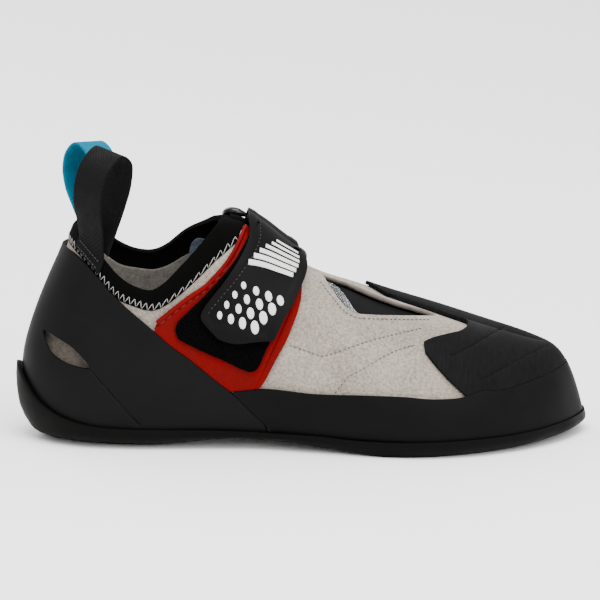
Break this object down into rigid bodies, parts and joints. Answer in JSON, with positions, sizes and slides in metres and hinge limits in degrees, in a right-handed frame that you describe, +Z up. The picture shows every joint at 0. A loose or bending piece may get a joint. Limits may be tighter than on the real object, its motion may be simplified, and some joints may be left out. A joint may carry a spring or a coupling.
{
  "type": "climbing shoe",
  "caption": "Low climbing shoe for the right foot: grey suede upper, black rubber rands and sole, red closure panel, wide strap and two heel pull loops",
  "frame": {"origin": "On the floor under the middle of the shoe's box", "axes": "+X runs to the toe, -Y to the outer side of the foot, +Z up from the floor"},
  "size_m": [0.2601, 0.0958, 0.1373],
  "materials": {
    "sole_rubber": "matte",
    "rand_rubber": "matte",
    "heel_rubber": "matte",
    "toe_rubber": "matte",
    "suede": "matte",
    "stretch_trim": "matte",
    "throat_fabric": "matte",
    "insole_board": "matte",
    "red_fabric": "satin",
    "loop_pile": "matte",
    "strap_rubber": "satin",
    "ring_plastic": "gloss",
    "tab_webbing": "matte",
    "black_webbing": "matte",
    "blue_webbing": "satin"
  },
  "bodies": {
    "root": {"outsole": "sole_rubber", "rand": "rand_rubber", "heel_rand": "heel_rubber", "toe_patch": "toe_rubber", "upper": "suede", "collar_trim": "stretch_trim", "tongue": "throat_fabric", "insole": "insole_board", "closure_panel": "red_fabric", "loop_pile": "loop_pile", "strap": "strap_rubber", "strap_ring": "ring_plastic", "ring_tab": "tab_webbing", "pull_loop_black": "black_webbing", "pull_loop_blue": "blue_webbing"}
  },
  "joints": []
}
